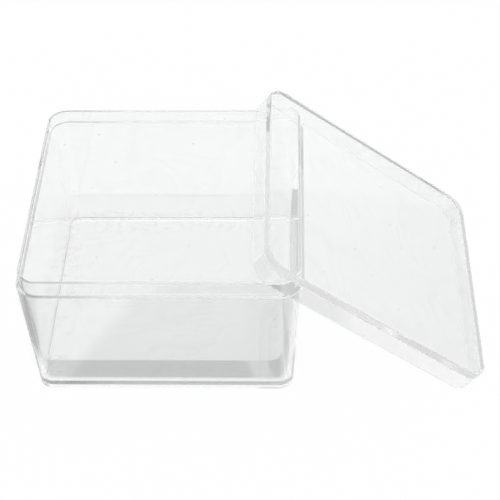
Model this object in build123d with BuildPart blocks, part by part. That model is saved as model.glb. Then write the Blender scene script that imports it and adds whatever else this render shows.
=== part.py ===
# Square storage box of clear plastic with a lift-off lid, both injection moulded.
# The box stands on the table. The lid is off and leans against it: its lower edge rests on the
# table, the underside of its plate lies on the box's right-hand rim, and its skirt stands either
# side of the neck. Millimetres, +Z up, +X towards the leaning lid, -Y towards the viewer.
# The origin is the middle of the box's foot, at table level.

from build123d import *

import os
from math import asin, atan2, cos, degrees, hypot, radians, sin, sqrt, tan

# The box: its outside sizes are those at the shoulder, where it is widest
box_width = 100.0
box_height = 56.2
neck_height = 5.9
corner_radius = 8.4
wall_thickness = 2.25
floor_thickness = 1.9
neck_step = 1.2
draft_angle = 3.3

# The foot: a low rim round the underside that holds the floor off the table
foot_height = 1.1
foot_width = 2.4
foot_chamfer = 0.3

# The box's rounded edges
floor_round = 0.8
shoulder_round = 0.35
lip_round = 0.3

# The lid: a flat plate with a skirt that slips over the neck
plate_thickness = 3.0
skirt_thickness = 0.75
plate_round = 0.5
tray_round = 0.6
rim_round = 0.25

# Clearances of the lid when it is on the box
skirt_gap = 0.2
plate_gap = 0.8

# Clearance of the lid where it leans on the box
lean_gap = 0.3

# Sizes of the box that follow
shoulder_height = box_height - neck_height
neck_width = box_width - 2 * neck_step
neck_radius = corner_radius - neck_step
cavity_width = box_width - 2 * wall_thickness
cavity_radius = corner_radius - wall_thickness
cavity_depth = shoulder_height - foot_height - floor_thickness
base_inset = shoulder_height * tan(radians(draft_angle))
recess_width = box_width - 2 * (base_inset + foot_width)
recess_radius = corner_radius - base_inset - foot_width

# The foot's chamfer is a short, steep taper, as long up the wall as it is wide on the underside
chamfer_rise = foot_chamfer * cos(radians(draft_angle))
chamfer_run = foot_chamfer + foot_chamfer * sin(radians(draft_angle))
chamfer_angle = degrees(atan2(chamfer_run, chamfer_rise))

# Sizes of the lid that follow: its tray clears the neck by the two gaps
tray_width = neck_width + 2 * skirt_gap
tray_radius = neck_radius + skirt_gap
tray_depth = neck_height + plate_gap
lid_width = tray_width + 2 * skirt_thickness
lid_radius = tray_radius + skirt_thickness
lid_height = tray_depth + plate_thickness

# How steeply the lid leans. The rounded rim of its right-hand skirt touches the table, and the
# left-hand corners of its tray pass just over the lips of the box's front and back walls. They do
# so where the inside of the corner crosses the neck's outer face.
rim_reach = lid_width / 2 - rim_round
corner_run = sqrt(tray_radius**2 - neck_radius**2)
corner_reach = tray_width / 2 - tray_radius + corner_run
lean_rise = box_height + lean_gap - rim_round
lean_length = rim_reach + corner_reach
lean = asin(lean_rise / hypot(lean_length, rim_round)) + atan2(rim_round, lean_length)
lean_sin = sin(lean)
lean_cos = cos(lean)

# Where the lid leans: the underside of its plate passes the rounded lip of the right-hand wall
lid_centre_z = rim_reach * lean_sin + rim_round * (1 - lean_cos)
lip_centre_x = neck_width / 2 - lip_round
lip_centre_z = box_height - lip_round
lip_rise = lean_cos * (lip_centre_z - lid_centre_z)
lip_depth = tray_depth - lip_round - lean_gap
lid_centre_x = lip_centre_x - (lip_depth - lip_rise) / lean_sin

# The lid's plane is the plane of its free rim, turned down to the right by the lean
lid_plane = Plane(
    origin=(lid_centre_x, 0, lid_centre_z),
    x_dir=(lean_cos, 0, -lean_sin),
    z_dir=(lean_sin, 0, lean_cos),
)
lid_axis = Axis(lid_plane.origin, lid_plane.z_dir)

os.makedirs("parts", exist_ok=True)


# The box body: tapered walls, a flat floor on a foot, and a neck that stands in from the shoulder
with BuildPart() as box_body:
    with BuildSketch(Plane.XY.offset(shoulder_height)):
        RectangleRounded(box_width, box_width, corner_radius)
    extrude(amount=chamfer_rise - shoulder_height, taper=draft_angle)
    extrude(box_body.faces().sort_by(Axis.Z)[0], amount=chamfer_rise, taper=chamfer_angle)
    fillet(box_body.faces().sort_by(Axis.Z)[-1].edges(), radius=shoulder_round)

    # The neck, straight and square to the shoulder
    with BuildSketch(Plane.XY.offset(shoulder_height)):
        RectangleRounded(neck_width, neck_width, neck_radius)
    extrude(amount=neck_height)

    # The inside: straight through the neck, then tapered like the walls down to the floor
    with BuildSketch(Plane.XY.offset(shoulder_height)) as cavity_mouth:
        RectangleRounded(cavity_width, cavity_width, cavity_radius)
    extrude(amount=neck_height, mode=Mode.SUBTRACT)
    extrude(cavity_mouth.sketch, amount=-cavity_depth, taper=draft_angle, mode=Mode.SUBTRACT)
    level_faces = box_body.faces().filter_by(Plane.XY).sort_by(Axis.Z)
    fillet(level_faces[1].edges(), radius=floor_round)

    # The lip at the top of the neck, rounded inside and out
    fillet(box_body.faces().sort_by(Axis.Z)[-1].edges(), radius=lip_round)

    # The shallow recess under the floor, which leaves the foot round it
    with BuildSketch(Plane.XY):
        RectangleRounded(recess_width, recess_width, recess_radius)
    extrude(amount=foot_height, taper=draft_angle, mode=Mode.SUBTRACT)

box_body.part.label = "box_body"
export_step(box_body.part, "parts/box_body.step")


# The lid: a shallow tray turned over, drawn on its own leaning plane
with BuildPart() as lid:
    with BuildSketch(lid_plane):
        RectangleRounded(lid_width, lid_width, lid_radius)
    extrude(amount=lid_height)
    fillet(lid.faces().sort_by(lid_axis)[-1].edges(), radius=plate_round)

    # The tray that the neck goes into
    with BuildSketch(lid_plane):
        RectangleRounded(tray_width, tray_width, tray_radius)
    extrude(amount=tray_depth, mode=Mode.SUBTRACT)
    cross_faces = lid.faces().filter_by(lid_plane).sort_by(lid_axis)
    fillet(cross_faces[1].edges(), radius=tray_round)

    # The free rim of the skirt, rounded inside and out
    fillet(lid.faces().sort_by(lid_axis)[0].edges(), radius=rim_round)

lid.part.label = "lid"
export_step(lid.part, "parts/lid.step")
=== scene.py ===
from math import radians

import bpy
from mathutils import Matrix, Vector

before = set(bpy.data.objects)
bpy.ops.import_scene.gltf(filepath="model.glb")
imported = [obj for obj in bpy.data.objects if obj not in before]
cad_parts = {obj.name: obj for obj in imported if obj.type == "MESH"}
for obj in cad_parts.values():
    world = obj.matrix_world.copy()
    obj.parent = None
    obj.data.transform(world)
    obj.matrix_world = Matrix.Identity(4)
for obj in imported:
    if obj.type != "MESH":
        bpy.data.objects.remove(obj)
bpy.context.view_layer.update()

print("frame loaded:", ", ".join(sorted(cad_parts)))


# shader maths

class Wire:
    # one output of a node; sums written with it become Math nodes
    def __init__(self, tree, socket):
        self.tree = tree
        self.socket = socket

    def other(self, name):
        return Wire(self.tree, self.socket.node.outputs[name])

    def maths(self, operation, *values):
        return self.tree.add("ShaderNodeMath", dict(operation=operation), dict(enumerate(values)))

    def size(self):
        return self.maths("ABSOLUTE", self)

    def orMore(self, value):
        return self.maths("MAXIMUM", self, value)

    def isOver(self, value):
        return self.maths("GREATER_THAN", self, value)

    def clamped(self):
        return self.tree.add("ShaderNodeClamp", None, {"Value": self})

    def __add__(self, value):
        return self.maths("ADD", self, value)

    __radd__ = __add__

    def __sub__(self, value):
        return self.maths("SUBTRACT", self, value)

    def __rsub__(self, value):
        return self.maths("SUBTRACT", value, self)

    def __mul__(self, value):
        return self.maths("MULTIPLY", self, value)

    __rmul__ = __mul__

    def __truediv__(self, value):
        return self.maths("DIVIDE", self, value)

    def __rtruediv__(self, value):
        return self.maths("DIVIDE", value, self)

    def __pow__(self, value):
        return self.maths("POWER", self, value)

    def __rpow__(self, value):
        return self.maths("POWER", value, self)


class Tree:
    # the nodes of a material or of the world
    def __init__(self, owner):
        owner.use_nodes = True
        self.nodes = owner.node_tree.nodes
        self.links = owner.node_tree.links
        self.nodes.clear()

    # a node from its type, its settings and the values or links of its sockets
    def add(self, kind, settings=None, sockets=None, output=0):
        node = self.nodes.new(kind)
        for name, value in (settings or {}).items():
            if name == "stops":
                self.setStops(node.color_ramp, value)
            else:
                setattr(node, name, value)
        for key, value in (sockets or {}).items():
            if isinstance(value, Wire):
                self.links.new(value.socket, node.inputs[key])
            else:
                node.inputs[key].default_value = value
        return Wire(self, node.outputs[output]) if len(node.outputs) else node

    def setStops(self, ramp, stops):
        while len(ramp.elements) < len(stops):
            ramp.elements.new(1)
        for element, (place, grey) in zip(ramp.elements, stops):
            element.position = place
            element.color = (grey, grey, grey, 1)

    # goes smoothly from bottom to top while the value goes through the span
    def rise(self, value, span, bottom=0.0, top=1.0):
        return self.add("ShaderNodeMapRange", dict(interpolation_type="SMOOTHSTEP"), {
            "Value": value, "From Min": span[0], "From Max": span[1], "To Min": bottom, "To Max": top})

    # and from top down to bottom
    def fall(self, value, span, top=1.0, bottom=0.0):
        return self.rise(value, span, top, bottom)

    # the three coordinates of a place
    def split(self, place):
        x = self.add("ShaderNodeSeparateXYZ", None, {"Vector": place}, "X")
        return x, x.other("Y"), x.other("Z")

    def noise(self, place, scale=1.0, detail=0.0, distortion=0.0):
        return self.add("ShaderNodeTexNoise", None, {
            "Vector": place, "Scale": scale, "Detail": detail, "Distortion": distortion})

    def mix(self, share, first, second):
        return self.add("ShaderNodeMixShader", None, {0: share, 1: first, 2: second})


# clear plastic, as moulded; places are in metres from the middle of the box's foot

boxValues = dict(
    ior=1.55,
    roughness=0.0,
    clear=1.0,                  # the wear below is all that makes it less than wholly clear
    tint=(0.995, 1.0, 1.0, 1),
    absorbColour=(0.0, 0.04, 0.05, 1),  # what is left of the light is faintly cool
    absorbDensity=1.6,          # per metre, so only edges and long ways through look grey

    waveScale=45,               # slight waviness of the moulded faces
    waveDetail=1.0,
    waveHeight=0.000015,
    smudges=0.02,               # smudges from handling
    smudgeScale=38,
    smudgeDetail=4.0,
    smudgeTwist=1.5,
    smudgeSpan=(0.5, 0.72),
    scratches=0.02,             # hair scratches that run three ways
    scratchSize=(0.0007, 0.025, 0.02),
    scratchTurns=(25, 100, 155),
    scratchLean=(1 / 3, 1 / 2, 1),      # the share of each turn about X, Y and Z
    scratchSpan=(0.76, 0.79),
    specks=0.15,                # specks of dust
    speckScale=80,
    speckSpan=(0.02, 0.06),
    dust=0.10,                  # what has gathered along the edges of the floor at the back and left
    dustScale=190,
    dustDetail=3.0,
    dustTwist=1.0,
    dustSpan=(0.52, 0.66),
    dustFrom=(0.034, 0.0435),
    dustLow=(0.004, 0.006),
    wearColour=(0.8, 0.8, 0.8, 1),

    headOnLoss=0.035,           # what a lamp loses at a face that it meets square on
    footMiddle=-0.0428,         # but for a line along the front foot
    footSpan=(0.0010, 0.0016),
    slantLoss=0.08,             # and what at a glancing one
    slantPower=8,
    steepSpan=(0.55, 0.65),     # how slanted a face lies to the lamp before it counts as a wall
    frontLoss=0.56,             # the front wall, which faces the lamp, keeps out this much
    frontPlace=(-0.044, -0.040),
    frontLow=(0.0178, 0.0183),  # but for its lower part
    streak=0.6,                 # and for a streak near its right end that lets more of the lamp through, a painted pool of light in the wall's shadow
    streakFrom=(0.032, 0.036),
    streakTo=(0.0405, 0.042),
    backLoss=0.018,             # the back and left walls take a little, and their lip more
    backPlace=(0.040, 0.044),
    lipLoss=0.10,
    lipPlace=(0.0548, 0.0553),

    deepCount=8,                # light that has gone to and fro so often ends in a painted glow, a grey emission whose level is painted by place
    deepFrom=(-0.05, 0.05),
    # painted levels of that glow from left to right across the box
    paintedGlowStops=[(0.0, 0.60), (0.12, 0.64), (0.3, 0.86), (0.88, 0.88), (0.93, 1.0)],
    paintedGlowLow=0.66,               # painted darker in the floor
    lowPlace=(0.0035, 0.006),
    paintedGlowFar=1.0,                # painted level at the far edge, as far to the right as farTo
    farPlace=(0.045, 0.046),
    farTo=(0.102, 0.108),
)

# the lid's plastic has the same wear, but it takes less from lamps, and its trapped light ends in a painted
# glow with other bands, a painted glint among them
lidValues = dict(
    boxValues,
    absorbDensity=0.8,
    headOnLoss=0.03,
    slantLoss=0.02,
    frontLoss=0.0,
    streak=0.0,
    backLoss=0.0,
    lipLoss=0.0,
    deepCount=5,
    deepFrom=(0.035, 0.12),
    # painted bands of that glow across the lid, with a painted glint near its right end
    paintedGlowStops=[(0.0, 0.70), (0.06, 0.72), (0.1, 0.8), (0.66, 0.8),
               (0.7, 0.98), (0.74, 0.73), (0.92, 0.73), (0.95, 0.84)],
    paintedGlowLow=1.0,
    # painted darker at the far edge
    paintedGlowFar=0.6,
    farPlace=(0.0465, 0.048),
)


# how much wear there is at each place: it scatters a little of the light
def addWear(tree, place, values):
    smudge = tree.noise(place, values["smudgeScale"], values["smudgeDetail"], values["smudgeTwist"])
    wear = tree.rise(smudge, values["smudgeSpan"]) * values["smudges"]

    scratch = 0
    for turn in values["scratchTurns"]:
        run = tree.add("ShaderNodeMapping", dict(vector_type="TEXTURE"), {
            "Vector": place,
            "Rotation": [radians(turn * share) for share in values["scratchLean"]],
            "Scale": values["scratchSize"],
        })
        scratch = scratch + tree.rise(tree.noise(run), values["scratchSpan"])
    wear = wear + scratch * values["scratches"]

    speck = tree.add("ShaderNodeTexVoronoi", None, {
        "Vector": place, "Scale": values["speckScale"]}, "Distance")
    wear = wear + tree.fall(speck, values["speckSpan"]) * values["specks"]

    x, y, z = tree.split(place)
    edge = tree.rise((-1 * x).orMore(y), values["dustFrom"]) * tree.fall(z, values["dustLow"])
    grain = tree.noise(place, values["dustScale"], values["dustDetail"], values["dustTwist"])
    wear = wear + edge * tree.rise(grain, values["dustSpan"]) * values["dust"]
    return wear.clamped()


# the share of a lamp's light that gets through a face
def addPassed(tree, place, values):
    x, y, z = tree.split(place)
    slant = tree.add("ShaderNodeLayerWeight", None, None, "Facing")
    steep = tree.rise(slant, values["steepSpan"])
    outside = 1 - tree.add("ShaderNodeNewGeometry", None, None, "Backfacing")

    front = tree.fall(y, values["frontPlace"], values["frontLoss"]) * steep * outside
    front = front * tree.rise(z, values["frontLow"])
    # a streak that lets more lamp light through: a painted pool of light in the front wall's shadow
    streak = tree.rise(x, values["streakFrom"]) * tree.fall(x, values["streakTo"])
    front = front * (1 - streak * values["streak"])

    back = steep * values["backLoss"] + tree.rise(z, values["lipPlace"], 0.0, values["lipLoss"])
    back = back * tree.rise(y.orMore(-1 * x), values["backPlace"])

    fromFoot = (y - values["footMiddle"]).size()
    headOn = (1 - slant) * tree.rise(fromFoot, values["footSpan"]) * values["headOnLoss"]
    glancing = slant ** values["slantPower"] * values["slantLoss"]
    return (1 - headOn - glancing - front - back).clamped()


# the painted glow for light that has gone to and fro in the plastic: its level, with painted shade and
# highlight bands, is set by place
def addPaintedDeepGlow(tree, place, values):
    x, y, z = tree.split(place)
    left, right = values["deepFrom"]
    level = tree.add("ShaderNodeValToRGB", dict(stops=values["paintedGlowStops"]), {0: (x - left) / (right - left)})
    level = level * tree.rise(z, values["lowPlace"], values["paintedGlowLow"])
    far = tree.rise(y, values["farPlace"]) * tree.fall(x, values["farTo"])
    return level * (1 - far * (1 - values["paintedGlowFar"]))


def makePlastic(name, values):
    material = bpy.data.materials.new(name)
    tree = Tree(material)
    place = tree.add("ShaderNodeTexCoord", None, None, "Object")
    wave = tree.add("ShaderNodeBump", None, {
        "Height": tree.noise(place, values["waveScale"], values["waveDetail"]),
        "Distance": values["waveHeight"],
    })
    glass = tree.add("ShaderNodeBsdfPrincipled", None, {
        "Base Color": values["tint"],
        "Roughness": values["roughness"],
        "IOR": values["ior"],
        "Transmission Weight": values["clear"],
        "Normal": wave,
    })
    worn = tree.add("ShaderNodeBsdfDiffuse", None, {"Color": values["wearColour"]})
    surface = tree.mix(addWear(tree, place, values), glass, worn)

    # lamps and the light that the table scatters go straight through, less what each face keeps
    path = tree.add("ShaderNodeLightPath")
    straight = (path.other("Is Shadow Ray") + path.other("Is Diffuse Ray")).clamped()
    lost = tree.add("ShaderNodeEmission", None, {"Strength": 0})
    through = tree.add("ShaderNodeBsdfTransparent")
    surface = tree.mix(straight, surface, tree.mix(addPassed(tree, place, values), lost, through))

    # after deepCount bounces a path ends in that painted glow
    deep = path.other("Ray Depth").isOver(values["deepCount"])
    grey = tree.add("ShaderNodeEmission", None, {"Color": addPaintedDeepGlow(tree, place, values), "Strength": 1})
    surface = tree.mix(deep, surface, grey)
    body = tree.add("ShaderNodeVolumeAbsorption", None, {
        "Color": values["absorbColour"], "Density": values["absorbDensity"]})
    tree.add("ShaderNodeOutputMaterial", None, {"Surface": surface, "Volume": body})
    return material


plastics = {"box_body": makePlastic("boxPlastic", boxValues), "lid": makePlastic("lidPlastic", lidValues)}
for name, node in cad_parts.items():
    node.data.materials.clear()
    node.data.materials.append(plastics[name])
print("clear plastic on", len(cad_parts), "pieces")


# the floor: a wide white table top just under the foot

floorValues = dict(
    size=6.0,
    drop=0.0002,                # under the foot, so that the two faces don't meet
    colour=(0.95, 0.95, 0.95, 1),
    whiteForCamera=0.9,         # the share of plain white in what the camera sees of it directly
    darkColour=(0.12, 0.12, 0.12, 1),   # painted reflection: a dark patch on the table in front of the box that only reflections in the front wall show
    darkNear=(-0.115, -0.105),
    darkFar=(-0.0505, -0.0495),
    darkLeft=-0.040,            # where its left edge is nearest the box,
    darkSlant=0.46,             # how that edge runs,
    darkSoft=0.004,             # how soft it is there,
    darkSofter=0.22,            # how that grows away from the box,
    darkRest=0.22,              # and how dark it still is left of the edge
    darkRight=(0.062, 0.072),
    leftGrey=0.6,               # painted shade: how much darker the plastic shows the table left of the box, in front
    leftPlace=(-0.066, -0.053),
    leftFar=(-0.03, 0.01),
    footGlow=0.4,               # painted light: a glow on the table for light that the front wall leads down to its foot
    footNear=(-0.0475, -0.0472),
    footFar=(-0.0415, -0.0412),
    rightGlow=0.3,              # and a painted glow along the right one
    rightFrom=(0.042, 0.043),
    rightTo=(0.047, 0.048),
    rightEnds=(0.045, 0.048),
)


# painted reflection and painted shade: the dark patch that only reflections show, and the darker table on the
# left that the plastic shows
def addPaintedReflectionAndShade(tree, path, x, y, values):
    front = tree.rise(y, values["darkNear"]) * tree.fall(y, values["darkFar"])
    start = values["darkFar"][1]
    fromEdge = x + (y - start) * values["darkSlant"] - values["darkLeft"]
    softness = (start - y) * values["darkSofter"] + values["darkSoft"]
    right = tree.rise(fromEdge / softness, (0.0, 1.0), values["darkRest"]) * tree.fall(x, values["darkRight"])
    mirrored = path.other("Glossy Depth").isOver(0)
    left = tree.fall(x, values["leftPlace"], values["leftGrey"]) * tree.fall(y, values["leftFar"])
    return (front * right * mirrored + left).clamped()


# painted light: narrow glowing lines on the table along the feet of the front and right walls
def addPaintedFootGlow(tree, x, y, values):
    foot = tree.rise(y, values["footNear"]) * tree.fall(y, values["footFar"]) * values["footGlow"]
    side = tree.rise(x, values["rightFrom"]) * tree.fall(x, values["rightTo"]) * values["rightGlow"]
    return foot.orMore(side * tree.fall(y.size(), values["rightEnds"]))


def makeFloor(values):
    half = values["size"] / 2
    mesh = bpy.data.meshes.new("floor")
    corners = [(-half, -half, 0), (half, -half, 0), (half, half, 0), (-half, half, 0)]
    mesh.from_pydata(corners, [], [(0, 1, 2, 3)])
    floor = bpy.data.objects.new("floor", mesh)
    floor.location.z = -values["drop"]
    bpy.context.scene.collection.objects.link(floor)

    material = bpy.data.materials.new("paleTable")
    tree = Tree(material)
    path = tree.add("ShaderNodeLightPath")
    through = (path.other("Is Transmission Ray") + path.other("Is Glossy Ray")).clamped()
    x, y = tree.split(tree.add("ShaderNodeTexCoord", None, None, "Object"))[:2]
    # painted reflection and painted shade, only in what the plastic mirrors and bends
    dark = addPaintedReflectionAndShade(tree, path, x, y, values) * through
    # on a Mix node, inputs 6 and 7 and output 2 are the colours
    colour = tree.add("ShaderNodeMix", dict(data_type="RGBA"), {
        0: dark, 6: values["colour"], 7: values["darkColour"]}, 2)
    paper = tree.add("ShaderNodeBsdfDiffuse", None, {"Color": colour})
    white = tree.add("ShaderNodeEmission", None, {"Color": (1, 1, 1, 1), "Strength": 1})
    share = path.other("Is Camera Ray") * values["whiteForCamera"] + through * addPaintedFootGlow(tree, x, y, values)
    tree.add("ShaderNodeOutputMaterial", None, {"Surface": tree.mix(share, paper, white)})
    mesh.materials.append(material)


# light

lightValues = dict(
    skyLit=0.505,               # what lights the table
    skyFront=1.0,               # what the plastic mirrors and bends towards the viewer, from in front
    skyBack=1.1,                # and from behind
    frontToBack=(-0.5, 0.6),
    lowFront=0.4,               # near the horizon in front it is darker
    lowFrontSpan=(0.2, 0.5),
    lowDark=0.15,               # and a little darker all round
    lowSpan=(0.0, 0.2),
    sideDark=0.5,               # darker to both sides
    sideSpan=(0.5, 0.9),
    topDark=0.3,                # and overhead
    topSpan=(0.6, 1.0),
    sunStrength=1.6,            # the lamp that throws the shadows, high up and a little in front
    sunAngle=0.35,
    sunFrom=(4.0, -15.5, 56.2),
)


# how bright the sky is in each direction, for what the plastic mirrors and bends
def addSky(tree, values):
    x, y, z = tree.split(tree.add("ShaderNodeTexCoord", None, None, "Generated"))
    front = tree.rise(z, values["lowFrontSpan"], values["lowFront"], values["skyFront"])
    sky = tree.rise(y, values["frontToBack"], front, values["skyBack"])
    sky = sky * (1 - values["sideDark"] * tree.rise(x.size(), values["sideSpan"]))
    sky = sky * (1 - values["topDark"] * tree.rise(z, values["topSpan"]))
    return sky * tree.rise(z, values["lowSpan"], 1 - values["lowDark"])


def makeLight(values):
    world = bpy.data.worlds.new("studio")
    bpy.context.scene.world = world
    tree = Tree(world)
    path = tree.add("ShaderNodeLightPath")
    direct = path.other("Is Camera Ray")
    bent = (path.other("Is Transmission Ray") + path.other("Is Glossy Ray")).clamped()
    strength = direct + bent * addSky(tree, values) + (1 - direct - bent).clamped() * values["skyLit"]
    background = tree.add("ShaderNodeBackground", None, {"Color": (1, 1, 1, 1), "Strength": strength})
    tree.add("ShaderNodeOutputWorld", None, {"Surface": background})

    lamp = bpy.data.lights.new("sun", "SUN")
    lamp.energy = values["sunStrength"]
    lamp.angle = radians(values["sunAngle"])
    sun = bpy.data.objects.new("sun", lamp)
    sun.rotation_mode = "QUATERNION"
    sun.rotation_quaternion = Vector(values["sunFrom"]).to_track_quat("Z", "Y")
    bpy.context.scene.collection.objects.link(sun)


# camera

cameraValues = dict(
    place=(0.0450, -0.3828, 0.3841),
    tilt=46.96,                 # from straight down
    turn=2.15,
    roll=-1.40,
    lens=98.8,
    sensor=36,
)


def makeCamera(values):
    data = bpy.data.cameras.new("camera")
    data.lens = values["lens"]
    data.sensor_width = values["sensor"]
    camera = bpy.data.objects.new("camera", data)
    bpy.context.scene.collection.objects.link(camera)
    tilt = Matrix.Rotation(radians(values["tilt"]), 4, "X")
    turn = Matrix.Rotation(radians(values["turn"]), 4, "Z")
    roll = Matrix.Rotation(radians(values["roll"]), 4, "Z")
    camera.matrix_world = Matrix.Translation(values["place"]) @ turn @ tilt @ roll
    bpy.context.scene.camera = camera


makeFloor(floorValues)
makeLight(lightValues)
makeCamera(cameraValues)
print("floor, light and camera made")


# the render: light goes many times from side to side in a clear wall before it comes out of an edge

renderValues = dict(
    bounces=128,
    bounceKinds=("max", "glossy", "transmission", "transparent_max"),
)

scene = bpy.context.scene
scene.view_settings.view_transform = "Standard"
for kind in renderValues["bounceKinds"]:
    setattr(scene.cycles, kind + "_bounces", renderValues["bounces"])
